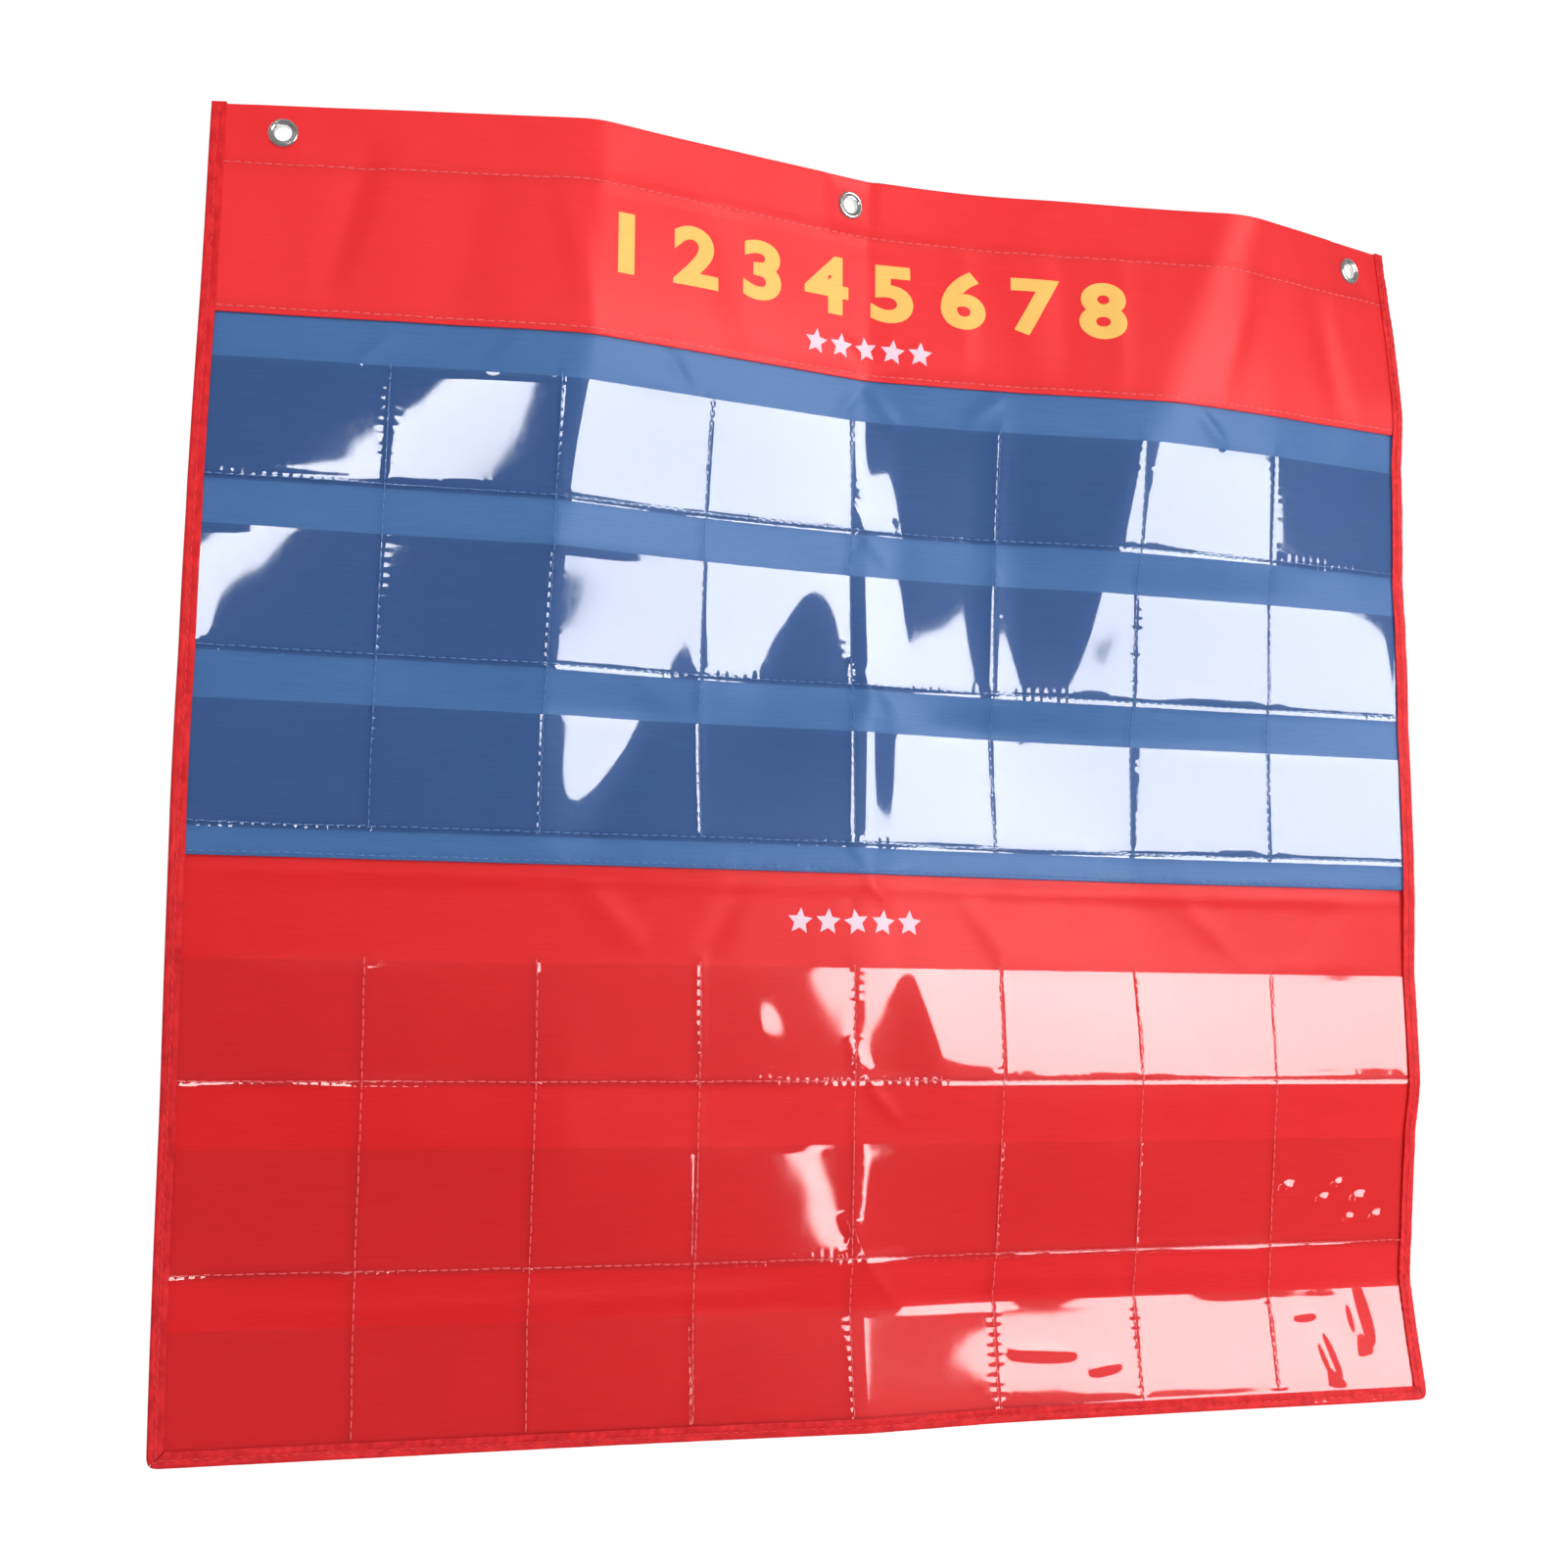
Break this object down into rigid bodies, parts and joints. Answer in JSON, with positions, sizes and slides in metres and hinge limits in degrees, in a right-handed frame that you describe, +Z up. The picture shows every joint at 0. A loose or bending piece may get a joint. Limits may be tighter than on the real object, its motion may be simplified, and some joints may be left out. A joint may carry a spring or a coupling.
{
  "type": "pocket chart",
  "caption": "Wall-hanging cloth pocket chart with rows of clear card pockets on an upper and a lower panel, bound edges and metal hanging eyelets.",
  "frame": {"origin": "middle of the centre eyelet's hole, halfway through the hem", "axes": "+X across the chart to the viewer's right, +Z up, and the pockets face -Y"},
  "size_m": [0.6848, 0.0499, 0.6545],
  "materials": {
    "header_cloth": "red oxford nylon with a satin sheen",
    "upper_cloth": "blue oxford nylon with a satin sheen",
    "lower_cloth": "red oxford nylon with a satin sheen",
    "binding_tape": "red woven binding tape",
    "clear_vinyl": "clear glossy vinyl sheet",
    "eyelet_metal": "bright nickel plate"
  },
  "bodies": {
    "root": {"header_panel": "header_cloth", "upper_panel": "upper_cloth", "lower_panel": "lower_cloth", "left_binding": "binding_tape", "right_binding": "binding_tape", "bottom_binding": "binding_tape", "upper_pocket_strip_1": "clear_vinyl", "upper_pocket_strip_2": "clear_vinyl", "upper_pocket_strip_3": "clear_vinyl", "lower_pocket_strip_1": "clear_vinyl", "lower_pocket_strip_2": "clear_vinyl", "lower_pocket_strip_3": "clear_vinyl", "left_eyelet": "eyelet_metal", "left_eyelet_washer": "eyelet_metal", "centre_eyelet": "eyelet_metal", "centre_eyelet_washer": "eyelet_metal", "right_eyelet": "eyelet_metal", "right_eyelet_washer": "eyelet_metal"}
  },
  "joints": []
}
